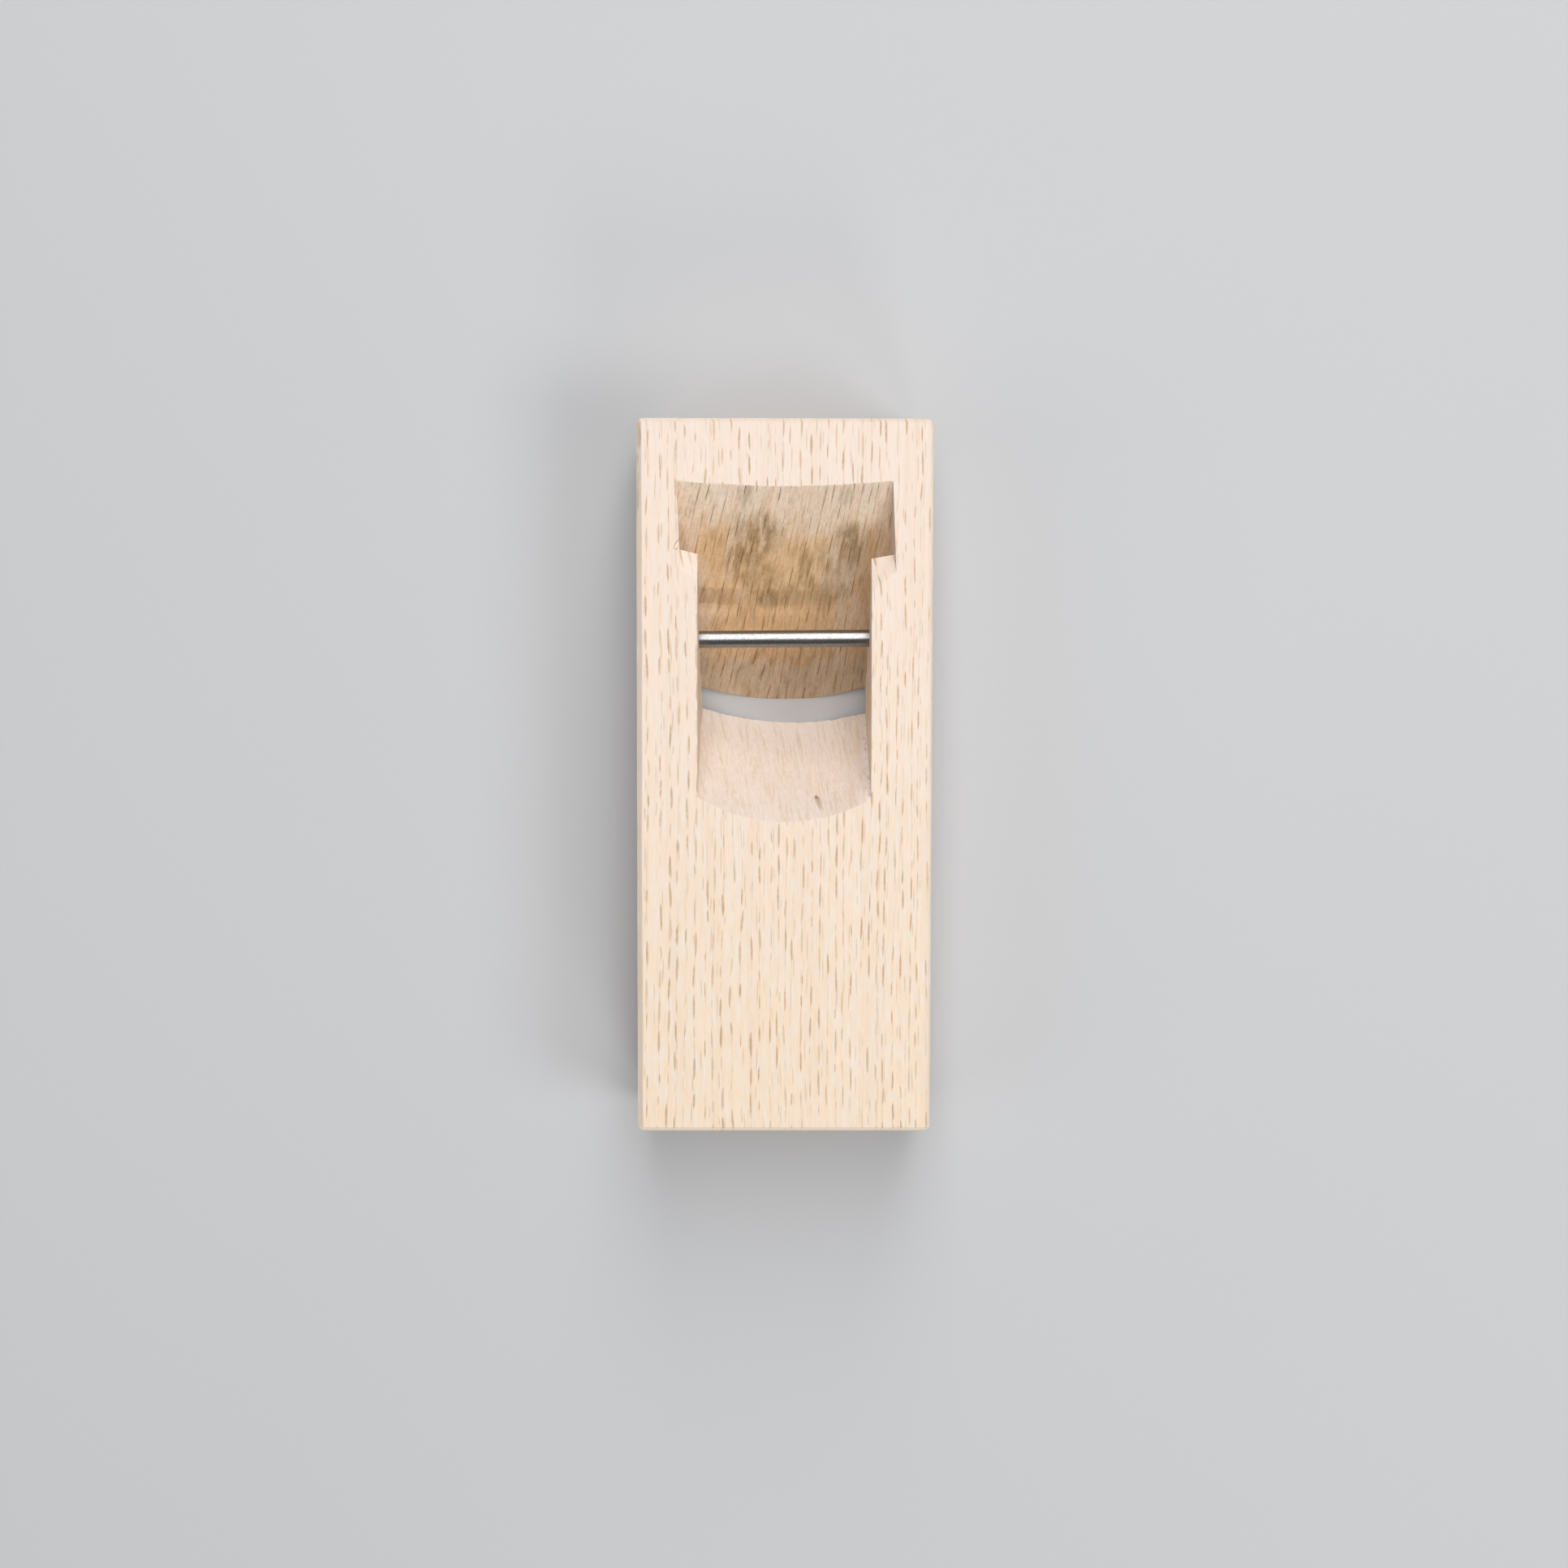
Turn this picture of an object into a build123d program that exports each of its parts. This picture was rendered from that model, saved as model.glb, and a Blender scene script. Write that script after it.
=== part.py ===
from build123d import *

import os
from math import cos, radians, sin, sqrt, tan

# A wooden pull plane with its cutting iron taken out: a body worked from one block, with a sole that is
# round across the body, and the steel pin that crosses the throat and would press on the cap iron.
# Millimetres. +X runs across the body, +Y towards the head end, which the iron leans to, and +Z up.
# The origin is on the lowest line of the sole, half way along the body.

# Body block
body_length = 143.0
body_width = 59.0
body_height = 32.5  # from the lowest line of the sole to the top face
sole_radius = 108.0  # across the body

# Edges of the block, each cut at 45 degrees
corner_chamfer = 1.1  # the four upright edges
left_chamfer = 1.1  # the long top edge at -X
right_chamfer = 0.5  # the long top edge at +X
end_chamfer = 0.9  # the two top edges across the ends
sole_end_chamfer = 0.8  # where the sole meets the ends
sole_side_chamfer = 0.6  # where the sole meets the sides

# Bed, the slope that the iron lies on
mouth_to_head = 56.8  # from the head end to the foot of the bed, on the centre line of the sole
bed_rise, bed_run = 7.5, 10.0  # pitch of the bed, as it is set out on the block
bed_radius = 214.0  # the bed is crowned a little across its width, seen from above

# Seat of the iron: two grooves in the cheeks that close on its edges like a wedge
iron_width = 42.0
iron_side_play = 0.45  # room beside the iron, to set it straight
wedge_gap = 4.3  # between the bed and the grooves' front faces, level with the sole
wedge_angle = 4.1  # how much steeper the grooves' front faces are than the bed
groove_floor = 3.5  # height over the lowest line of the sole where the grooves stop

# Throat between the cheeks, and the gullet that the shavings rise along
throat_width = 34.7
mouth_opening = 5.0  # along the sole, from the foot of the bed to the gullet, on the centre line
gullet_run = 18.5  # how far the gullet leans towards the tail, from the sole to the top face
gullet_mouth_radius = 46.0  # hollow of the gullet at the sole, seen from above
gullet_top_radius = 33.5  # and at the top face
gullet_mouth_skew = 1.8  # degrees that the gullet is out of square at the sole, cut by hand
gullet_top_skew = 0.2  # and at the top face

# Facets pared off the upper ends of the cheeks, each with its length along the top face and its drop
left_facet_at_throat = (6.9, 2.7)
left_facet_at_groove = (5.0, 1.9)
right_facet_at_throat = (8.8, 3.4)
right_facet_at_groove = (5.3, 2.7)

# Cross pin, driven into a hole that is bored from the +X side and ends blind in the other cheek
pin_diameter = 3.5
pin_end_chamfer = 0.4
pin_height = 20.5
pin_to_bed = 6.85  # clear height over the bed, square to it, for the iron and the cap iron
pin_skew = 0.5  # degrees that the pin leans towards the head end at +X, bored by hand
pin_tip_cover = 3.15  # wood between the pin's tip and the -X side
pin_recess = 2.0  # depth of the pin's other end below the +X side
pin_clearance = 0.03  # between pin and hole, on the radius
pin_tip_gap = 0.3  # between the pin's tip and the end of the hole
drill_point_angle = 118.0

# Cutting solids run this far past the faces they cut
over = 2.0

# Places that follow from the sizes above
half_length = body_length / 2
half_width = body_width / 2
half_throat = throat_width / 2
half_groove = iron_width / 2 + iron_side_play
bed_slope = bed_rise / bed_run
bed_length = sqrt(bed_rise**2 + bed_run**2)
bed_sine, bed_cosine = bed_rise / bed_length, bed_run / bed_length
bed_foot = half_length - mouth_to_head
wedge_slope = (bed_slope + tan(radians(wedge_angle))) / (1 - bed_slope * tan(radians(wedge_angle)))
pin_radius = pin_diameter / 2
bore_radius = pin_radius + pin_clearance
pin_y = bed_foot + (pin_height - (pin_to_bed + pin_radius) / bed_cosine) / bed_slope
pin_left = -half_width + pin_tip_cover
pin_right = half_width - pin_recess
pin_aim = (cos(radians(pin_skew)), sin(radians(pin_skew)), 0)
pin_line = Plane((0, pin_y, pin_height), x_dir=(-pin_aim[1], pin_aim[0], 0), z_dir=pin_aim)


def arc_rise(radius, offset):
    """Height of a circle above its lowest point, at an offset from its centre line."""
    return radius - sqrt(radius**2 - offset**2)


def wedge_front(z):
    """Place along Y of the grooves' front faces at height z."""
    return bed_foot - wedge_gap + z / wedge_slope


def prism_between(corners, start, end):
    """A flat outline of (y, z) corners, drawn across X from start to end."""
    section = Plane.YZ.offset(start) * make_face(Polyline(*corners, close=True))
    return extrude(section, end - start)


def block():
    """The planed block: flat sides and top, round sole, every edge chamfered."""
    foot = arc_rise(sole_radius, half_width)
    sides = Polyline(
        (-half_width, foot), (-half_width, body_height), (half_width, body_height), (half_width, foot)
    )
    sole = ThreePointArc((half_width, foot), (0, 0), (-half_width, foot))
    blank = extrude(Plane.XZ * make_face(sides + sole), half_length, both=True)

    ends = blank.faces().filter_by(Axis.Y)
    sole_ends = [end.edges().sort_by(Axis.Z)[0] for end in ends]
    blank = chamfer(sole_ends, sole_end_chamfer)

    uprights = blank.edges().filter_by(Axis.Z)
    blank = chamfer(uprights, corner_chamfer)

    sole_sides = blank.edges().filter_by(Axis.Y).group_by(Axis.Z)[0]
    blank = chamfer(sole_sides, sole_side_chamfer)
    return blank - top_edge_cuts()


def top_edge_cuts():
    """The four chamfers round the top face, which differ from edge to edge."""
    cuts = []
    for side, size in ((-1, left_chamfer), (1, right_chamfer)):
        corners = [
            (side * (half_width - size), body_height),
            (side * half_width, body_height - size),
            (side * half_width, body_height),
        ]
        section = Plane.XZ * make_face(Polyline(*corners, close=True))
        cuts.append(extrude(section, half_length, both=True))
    for end in (-1, 1):
        corners = [
            (end * (half_length - end_chamfer), body_height),
            (end * half_length, body_height - end_chamfer),
            (end * half_length, body_height),
        ]
        cuts.append(prism_between(corners, -half_width, half_width))
    return cuts


def space_before_bed():
    """Everything on the throat's side of the crowned bed, as wide as the iron's seat."""
    top = body_height + over
    crest = bed_foot + top / bed_slope
    edge = crest + arc_rise(bed_radius, half_groove)
    crown = ThreePointArc((half_groove, edge), (0, crest), (-half_groove, edge))
    rest = Polyline(
        (-half_groove, edge), (-half_groove, -body_length), (half_groove, -body_length), (half_groove, edge)
    )
    section = Plane.XY.offset(top) * make_face(crown + rest)
    return extrude(section, (body_height + 2 * over) / bed_sine, dir=(0, -bed_cosine, -bed_sine))


def throat_section(z):
    """Level section of the throat at height z, from the hollow gullet back past the bed."""
    share = z / body_height
    radius = gullet_mouth_radius + share * (gullet_top_radius - gullet_mouth_radius)
    lowest = bed_foot - mouth_opening - share * gullet_run
    skew = radians(gullet_mouth_skew + share * (gullet_top_skew - gullet_mouth_skew))
    centre_x = radius * sin(skew)
    centre_y = lowest + radius * cos(skew)
    left, middle, right = (
        (x, centre_y - sqrt(radius**2 - (x - centre_x) ** 2)) for x in (-half_throat, 0, half_throat)
    )
    gullet = ThreePointArc(left, middle, right)
    rest = Polyline(right, (half_throat, body_length), (-half_throat, body_length), left)
    return Plane.XY.offset(z) * make_face(gullet + rest)


def iron_seat():
    """The wedge-shaped space that the iron slides down, grooves in the cheeks included."""
    top = body_height + over
    corners = [
        (wedge_front(groove_floor), groove_floor),
        (wedge_front(top), top),
        (body_length, top),
        (body_length, groove_floor),
    ]
    return prism_between(corners, -half_groove - over, half_groove + over)


def cheek_facet(side, at_throat, at_groove):
    """The twisted sliver of wood pared off one cheek's upper end."""
    reach = over / (half_groove - half_throat)
    past_throat = [near + reach * (near - far) for near, far in zip(at_throat, at_groove)]
    end = wedge_front(body_height)
    sections = []
    for x, (length, drop) in ((half_throat - over, past_throat), (half_groove, at_groove)):
        low = body_height - drop
        corners = [
            (end - length, body_height),
            (wedge_front(low), low),
            (wedge_front(low) + over, low),
            (end + over, body_height),
        ]
        sections.append(Plane.YZ.offset(side * x) * make_face(Polyline(*corners, close=True)))
    return loft(sections, ruled=True)


def pin_bore():
    """The hole for the pin, with the cone that the drill leaves at its blind end."""
    start = pin_left - pin_tip_gap
    length = half_width + over - start
    point = bore_radius / tan(radians(drill_point_angle / 2))
    across = pin_line.offset(start)
    barrel = across * Cylinder(bore_radius, length, align=(Align.CENTER, Align.CENTER, Align.MIN))
    cone = across * Cone(0, bore_radius, point, align=(Align.CENTER, Align.CENTER, Align.MAX))
    return barrel + cone


def plane_body():
    """The body: the block less its throat, the iron's seat, the facets and the pin's hole."""
    throat = loft([throat_section(-over), throat_section(body_height + over)], ruled=True)
    mortise = space_before_bed() & (throat + iron_seat())
    left_facet = cheek_facet(-1, left_facet_at_throat, left_facet_at_groove)
    right_facet = cheek_facet(1, right_facet_at_throat, right_facet_at_groove)
    return block() - mortise - left_facet - right_facet - pin_bore()


def retaining_pin():
    """The round steel pin, with both ends broken by a small chamfer."""
    length = pin_right - pin_left
    rod = pin_line.offset(pin_left) * Cylinder(pin_radius, length, align=(Align.CENTER, Align.CENTER, Align.MIN))
    return chamfer(rod.edges().filter_by(GeomType.CIRCLE), pin_end_chamfer)


def main():
    os.makedirs("parts", exist_ok=True)
    for name, shape in (("plane_body", plane_body()), ("retaining_pin", retaining_pin())):
        print(name, "solids", len(shape.solids()), "volume", round(shape.volume, 1))
        export_step(shape, f"parts/{name}.step")


main()
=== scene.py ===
import math

import bmesh
import bpy
from mathutils import Euler, Matrix, Vector, noise


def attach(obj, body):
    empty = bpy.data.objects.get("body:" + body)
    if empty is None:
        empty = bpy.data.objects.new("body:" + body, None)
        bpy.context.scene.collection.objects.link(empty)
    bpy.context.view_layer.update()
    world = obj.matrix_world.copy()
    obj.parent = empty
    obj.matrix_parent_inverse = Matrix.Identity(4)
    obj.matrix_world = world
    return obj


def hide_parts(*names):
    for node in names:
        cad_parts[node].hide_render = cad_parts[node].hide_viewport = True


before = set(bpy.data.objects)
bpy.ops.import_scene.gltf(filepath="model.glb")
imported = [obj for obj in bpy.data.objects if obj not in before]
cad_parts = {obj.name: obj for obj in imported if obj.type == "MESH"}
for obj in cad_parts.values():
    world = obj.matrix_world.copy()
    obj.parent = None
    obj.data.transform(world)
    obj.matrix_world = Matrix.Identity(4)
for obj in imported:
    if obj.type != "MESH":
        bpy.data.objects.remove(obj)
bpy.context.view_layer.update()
scene = bpy.context.scene
scene.view_settings.view_transform = "Standard"

toMetres = 0.001  # every size below is in millimetres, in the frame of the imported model


# small helpers for meshes

def newObject(name, bm, finish=None):
    if finish is not None:
        for face in bm.faces:
            face.material_index = finish
    mesh = bpy.data.meshes.new(name)
    bm.to_mesh(mesh)
    bm.free()
    obj = bpy.data.objects.new(name, mesh)
    scene.collection.objects.link(obj)
    return obj


def applyModifiers(obj):
    graph = bpy.context.evaluated_depsgraph_get()
    mesh = bpy.data.meshes.new_from_object(obj.evaluated_get(graph))
    obj.modifiers.clear()
    obj.data = mesh


def combine(obj, other, operation, solver="EXACT"):
    mod = obj.modifiers.new(operation.lower(), "BOOLEAN")
    mod.operation = operation
    mod.object = other
    mod.solver = solver
    mod.material_mode = "INDEX"  # a cut face keeps the finish number of its cutter
    applyModifiers(obj)
    bpy.data.objects.remove(other)


def wave(point, size, amount):
    return amount * noise.noise(Vector(point) / size)


def arcRise(radius, offset):
    return radius - math.sqrt(radius * radius - offset * offset)


def fade(value, reach):
    # 1 up to zero, falling to 0 at the reach
    return max(0.0, 1.0 - max(0.0, value) / reach)


def between(a, b, t):
    return a + t * (b - a)


def joinRings(bm, rings):
    # skin over a row of outlines, closed at both ends
    for ringA, ringB in zip(rings, rings[1:]):
        for i in range(len(ringA)):
            j = (i + 1) % len(ringA)
            bm.faces.new([ringA[i], ringA[j], ringB[j], ringB[i]])
    bm.faces.new(rings[0])
    bm.faces.new(rings[-1])


def faceOutward(bm):
    bmesh.ops.recalc_face_normals(bm, faces=bm.faces)


def gridSolid(name, counts, place, finishes):
    # closed skin of a lattice: place(u, v, w) gives each point
    # the finishes are for the v = 0 side, the v = 1 side and the rest
    nu, nv, nw = counts
    bm = bmesh.new()
    points = {}

    def point(i, j, k):
        if (i, j, k) not in points:
            points[i, j, k] = bm.verts.new(place(i / nu, j / nv, k / nw))
        return points[i, j, k]

    def sheet(na, nb, key, finish):
        for a in range(na):
            for b in range(nb):
                corners = [key(a, b), key(a + 1, b), key(a + 1, b + 1), key(a, b + 1)]
                bm.faces.new([point(*c) for c in corners]).material_index = finish

    front, back, rest = finishes
    sheet(nu, nv, lambda a, b: (a, b, 0), rest)
    sheet(nu, nv, lambda a, b: (a, b, nw), rest)
    sheet(nu, nw, lambda a, b: (a, 0, b), front)
    sheet(nu, nw, lambda a, b: (a, nv, b), back)
    sheet(nv, nw, lambda a, b: (0, a, b), rest)
    sheet(nv, nw, lambda a, b: (nu, a, b), rest)
    faceOutward(bm)
    return newObject(name, bm)


# small helpers for node trees: a value is a number or another node's socket, which knows its own tree

def put(tree, kind, links=None, **settings):
    item = tree.nodes.new(kind)
    for key, value in settings.items():
        setattr(item, key, value)
    for key, value in (links or {}).items():
        socket = item.inputs[key]
        if isinstance(value, bpy.types.NodeSocket):
            tree.links.new(value, socket)
        else:
            socket.default_value = (*value, 1.0) if socket.type == "RGBA" else value
    return item


def treeOf(values):
    return next(v.id_data for v in values if isinstance(v, bpy.types.NodeSocket))


def calc(operation, *values, clamp=False):
    links = dict(enumerate(values))
    item = put(treeOf(values), "ShaderNodeMath", links, operation=operation, use_clamp=clamp)
    return item.outputs[0]


def inTurn(operation, values):
    result = values[0]
    for value in values[1:]:
        result = calc(operation, result, value)
    return result


def times(*values):
    return inTurn("MULTIPLY", values)


def plus(*values):
    return inTurn("ADD", values)


def largest(*values):
    return inTurn("MAXIMUM", values)


def minus(a, b):
    return calc("SUBTRACT", a, b)


def divided(a, b):
    return calc("DIVIDE", a, b)


def absolute(value):
    return calc("ABSOLUTE", value)


def layered(height, *parts):
    # one texture's relief with weighted others on it
    for value, weight in parts:
        height = calc("MULTIPLY_ADD", value, weight, height)
    return height


def remap(value, low, high, toLow=0.0, toHigh=1.0, kind="SMOOTHSTEP"):
    links = {"Value": value, "From Min": low, "From Max": high, "To Min": toLow, "To Max": toHigh}
    return put(value.id_data, "ShaderNodeMapRange", links, interpolation_type=kind).outputs[0]


def ramp(value, low, high, toLow=0.0, toHigh=1.0):
    return remap(value, low, high, toLow, toHigh, "LINEAR")


def swing(value, low, high, amount):
    return ramp(value, low, high, -amount, amount)


def blend(factor, a, b, mode="MIX"):
    links = {0: factor, 6: a, 7: b}
    item = put(treeOf(links.values()), "ShaderNodeMix", links, data_type="RGBA", blend_type=mode)
    return item.outputs[2]


def cloud(vector, scale=1.0, detail=2.0, rough=0.5):
    links = {"Vector": vector, "Scale": scale, "Detail": detail, "Roughness": rough}
    return put(vector.id_data, "ShaderNodeTexNoise", links, noise_dimensions="3D").outputs[0]


def joined(*values):
    return put(treeOf(values), "ShaderNodeCombineXYZ", dict(enumerate(values))).outputs[0]


def streaks(axes, scales, detail=2.0, rough=0.5):
    # noise with a scale of its own along each axis
    parts = [times(value, scale) for value, scale in zip(axes, scales)]
    return cloud(joined(*parts), 1.0, detail, rough)


def axesOf(vector):
    return tuple(put(vector.id_data, "ShaderNodeSeparateXYZ", {0: vector}).outputs)


def newGroup(name, ins, outs):
    tree = bpy.data.node_groups.new(name, "ShaderNodeTree")
    kinds = {"Position": "Vector", "Colour": "Color"}  # the other sockets are plain numbers
    for way, labels in (("INPUT", ins), ("OUTPUT", outs)):
        for label in labels:
            kind = "NodeSocket" + kinds.get(label, "Float")
            tree.interface.new_socket(label, in_out=way, socket_type=kind)
    return tree, put(tree, "NodeGroupInput").outputs, put(tree, "NodeGroupOutput")


def useGroup(group, links):
    return put(treeOf(links.values()), "ShaderNodeGroup", links, node_tree=group).outputs


def newMaterial(name, settings):
    material = bpy.data.materials.new(name)
    material.use_nodes = True
    tree = material.node_tree
    shader = tree.nodes["Principled BSDF"]
    for key, value in settings.items():
        shader.inputs[key].default_value = value
    return material, tree, shader


def feed(item, links):
    for key, value in links.items():
        item.id_data.links.new(value, item.inputs[key])


def millimetres(tree):
    spot = put(tree, "ShaderNodeTexCoord").outputs["Object"]
    links = {0: spot, "Scale": 1.0 / toMetres}
    return put(tree, "ShaderNodeVectorMath", links, operation="SCALE").outputs[0]


def eased(spot, lean):
    # squeezed in height, so that the rays lean less on a slope
    links = {0: spot, 1: (1.0, 1.0, lean)}
    return put(spot.id_data, "ShaderNodeVectorMath", links, operation="MULTIPLY").outputs[0]


def surface(shader, colour, rough, height, relief):
    strength, depth = relief
    links = {"Height": height, "Strength": strength, "Distance": depth * toMetres}
    normal = put(shader.id_data, "ShaderNodeBump", links).outputs[0]
    feed(shader, {"Base Color": colour, "Roughness": rough, "Normal": normal})


# wood: one solid timber, cut by every face of the body

fleck = {
    "size": (0.3, 1.0), "slimness": (0.07, 0.15), "tilt": 0.45,  # smallest and largest
    "place": (0.28, 0.72), "jitter": 0.07,  # across its column
    "flankEdge": (0.05, 0.16), "flankTone": (1.15, 0.75),  # on the sharp flank and on the soft one
    "crowding": (0.55, 1.25), "depth": (1.0, 0.5),
    "traceWidth": 0.16, "traceLength": 1.3, "traceFade": (0.42, 0.64),
}
layerSizes = ("Column", "Stretch", "Half Width", "Half Length", "Share", "Shift", "Trace")


def rayFlecks():
    # ray ends stand in columns along the grain, one slim blunt fleck to each stretch of a column
    tree, given, out = newGroup("rayFlecks", ("Across", "Along", "Swell") + layerSizes, ["Mask"])
    column = given["Column"]
    stretch = given["Stretch"]

    def chances(kind, links):
        colour = put(tree, "ShaderNodeTexWhiteNoise", links, noise_dimensions=kind).outputs["Color"]
        return put(tree, "ShaderNodeSeparateColor", {0: colour}).outputs

    def another(chance, factor):
        # one more chance value, out of one that is drawn already
        return calc("FRACT", times(chance, factor))

    across = plus(divided(given["Across"], column), given["Shift"])
    number = calc("FLOOR", across)
    start, lean, crowd = chances("1D", {"W": number})
    along = calc("MULTIPLY_ADD", start, 50.0, divided(given["Along"], stretch))
    size, place, weight = chances("2D", {"Vector": joined(number, calc("FLOOR", along))})
    halfLength = times(given["Half Length"], ramp(size, 0, 1, *fleck["size"]))
    slim = ramp(another(size, 7.3), 0, 1, *fleck["slimness"])
    halfWidth = times(calc("MINIMUM", times(halfLength, slim), given["Half Width"]), given["Swell"])
    # where a spot lies from the fleck's centre, and the fleck's own slight tilt
    room = minus(1.0, divided(times(halfLength, 2.0), stretch))
    middle = calc("MULTIPLY_ADD", minus(place, 0.5), room, 0.5)
    dy = divided(times(minus(calc("FRACT", along), middle), stretch), halfLength)
    line = ramp(lean, 0, 1, *fleck["place"])
    middle = plus(line, swing(another(place, 5.1), 0, 1, fleck["jitter"]))
    dx = times(minus(calc("FRACT", across), middle), column)
    tilt = swing(another(size, 3.9), 0, 1, fleck["tilt"])
    dx = calc("MULTIPLY_ADD", times(dy, tilt), halfWidth, dx)
    taper = minus(1.0, calc("POWER", absolute(dy), 3.0))
    inside = minus(times(halfWidth, taper), absolute(dx))
    # one flank is sharp and dark, the other fades into the wood
    turned = calc("GREATER_THAN", another(size, 13.7), 0.5)
    flank = times(divided(dx, halfWidth), calc("MULTIPLY_ADD", turned, 2.0, -1.0))
    mask = remap(inside, -0.05, ramp(flank, -1.0, 1.0, *fleck["flankEdge"]))
    mask = times(mask, ramp(flank, -1.0, 1.0, *fleck["flankTone"]))
    share = times(given["Share"], ramp(crowd, 0, 1, *fleck["crowding"]))
    mask = times(mask, calc("LESS_THAN", weight, share), ramp(weight, 0.0, 0.9, *fleck["depth"]))
    # here and there a faint trace runs on along the column
    off = absolute(times(minus(calc("FRACT", across), line), column))
    worn = cloud(joined(times(number, 7.3), along), fleck["traceLength"])
    worn = remap(worn, *fleck["traceFade"])
    trace = times(remap(off, fleck["traceWidth"], 0.0), worn, given["Trace"])
    feed(out, {"Mask": largest(mask, trace)})
    return tree


timber = {
    "pithX": 71.0,  # the tree's centre lies above the block and to the right
    "pithZ": 221.0,
    "arcRadius": 217.0,
    "ringWidth": 3.4,
    "slowWander": 1.3, "quickWander": 0.28, "ringWander": 2.2,
    # the sizes of each layer of rays, in the order above
    "boldRays": (1.75, 6.4, 0.23, 3.0, 0.84, 0.0, 0.46),
    "slenderRays": (1.5, 7.2, 0.14, 3.3, 0.68, 41.3, 0.0),
    "hairRays": (0.8, 5.2, 0.07, 2.4, 0.60, 87.7, 0.0),
    "slenderDepth": 0.54, "hairDepth": 0.20, "honeyShare": 0.85, "creamShare": 0.7,
    "cream": (0.785, 0.69, 0.60),
    "rose": (0.815, 0.66, 0.555),
    "honey": (0.81, 0.64, 0.465),
    "ray": (0.47, 0.30, 0.155),
    "ring": (0.72, 0.53, 0.37),
}
timberInputs = {"rayDepth": "Ray Depth", "ringDepth": "Ring Depth", "streak": "Streak Depth",
                "raySwell": "Ray Swell", "rayFray": "Ray Fray"}


def solidTimber():
    # fibres run along Y, rays spread from the tree's centre, rings lie round it
    outs = ["Colour", "Ray", "Fibre", "Across"]
    tree, given, out = newGroup("solidTimber", ["Position", *timberInputs.values()], outs)
    x, y, z = xyz = axesOf(given["Position"])
    side = minus(x, timber["pithX"])
    down = minus(timber["pithZ"], z)
    around = times(calc("ARCTAN2", side, down), timber["arcRadius"])
    outward = calc("SQRT", plus(times(side, side), times(down, down)))

    # the grain wanders a little
    slow = streaks(xyz, (0.06, 0.022, 0.02), 1.0)
    quick = streaks(xyz, (0.35, 0.07, 0.05), 1.0)
    around = plus(around, swing(slow, 0, 1, timber["slowWander"]))
    around = plus(around, swing(quick, 0, 1, timber["quickWander"]))
    polar = (around, y, outward)
    ragged = streaks(polar, (2.2, 1.6, 0.05), 2.0, 0.6)
    edge = calc("MULTIPLY_ADD", swing(ragged, 0.2, 0.8, 1.0), given["Ray Fray"], around)

    # rays: bold ones, slimmer ones between them and a haze of hair lines
    layer = rayFlecks()

    def fleckLayer(name):
        links = dict(zip(layerSizes, timber[name]), Across=edge, Along=y, Swell=given["Ray Swell"])
        return useGroup(layer, links)[0]

    slender = times(fleckLayer("slenderRays"), timber["slenderDepth"])
    hair = times(fleckLayer("hairRays"), timber["hairDepth"])
    torn = streaks(polar, (3.2, 0.8, 0.25), 2.0)
    rays = times(largest(fleckLayer("boldRays"), slender, hair), remap(torn, 0.28, 0.52, 0.6, 1.0))

    # fibres and soft streaks of colour
    fibre = streaks(polar, (2.5, 0.17, 0.45), 4.0, 0.65)
    streak = streaks(polar, (0.62, 0.05, 0.12), 2.0, 0.6)
    patch = streaks(polar, (1.0, 0.22, 0.14), 2.0, 0.55)
    warm = remap(plus(y, swing(streak, 0, 1, 60.0)), 75.0, -80.0)
    base = blend(times(warm, timber["honeyShare"]), timber["rose"], timber["honey"])
    base = blend(remap(patch, 0.36, 0.70, 0.0, timber["creamShare"]), base, timber["cream"])

    # growth rings, weak on the flat faces and plain on the ends
    count = divided(plus(outward, swing(slow, 0, 1, timber["ringWander"])), timber["ringWidth"])
    late = calc("FRACT", count)
    late = times(remap(late, 0.45, 0.96), remap(late, 1.0, 0.96))
    base = blend(times(late, given["Ring Depth"]), base, timber["ring"])

    # light and dark fibres, the dark ones a little warmer
    shade = times(given["Streak Depth"], ramp(fibre, 0.25, 0.75, -0.06, 0.04))
    lift = plus(shade, 1.0)
    blueLift = calc("MULTIPLY_ADD", shade, 1.3, 1.0)
    base = blend(1.0, base, joined(lift, lift, blueLift), "MULTIPLY")
    base = blend(calc("MULTIPLY", rays, given["Ray Depth"], clamp=True), base, timber["ray"])
    feed(out, {"Colour": base, "Ray": rays, "Fibre": fibre, "Across": around})
    return tree


solidWood = solidTimber()


def newWood(name):
    material, tree, shader = newMaterial(name, {"IOR": 1.45})
    spot = millimetres(tree)
    return material, shader, spot, axesOf(spot)


def timberAt(spot, values):
    links = {label: values[key] for key, label in timberInputs.items()}
    return useGroup(solidWood, {"Position": spot, **links})


planedFinish = {
    # on the top, on the sides, which are cut nearly along the rays, and on the ends, cut across them
    "rayDepth": (0.89, 0.36, 0.42), "ringDepth": (0.14, 0.42, 0.5), "streak": (1.0, 2.6, 1.0),
    "raySwell": (1.0, 1.0, 0.6), "rayFray": (0.05, 0.15, 0.03),
    "greyEdge": (0.66, 0.59, 0.51), "greyShare": (0.1, 0.45),
    "tailPaintedLight": (0.92, 0.80, 0.66), "tailLightShare": 0.7,
    "endGrain": (0.62, 0.47, 0.33), "endShare": 0.30,
    "endPore": (0.47, 0.34, 0.22), "poreShare": 0.5,
    "relief": (0.35, 0.05),  # strength and depth
}


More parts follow.
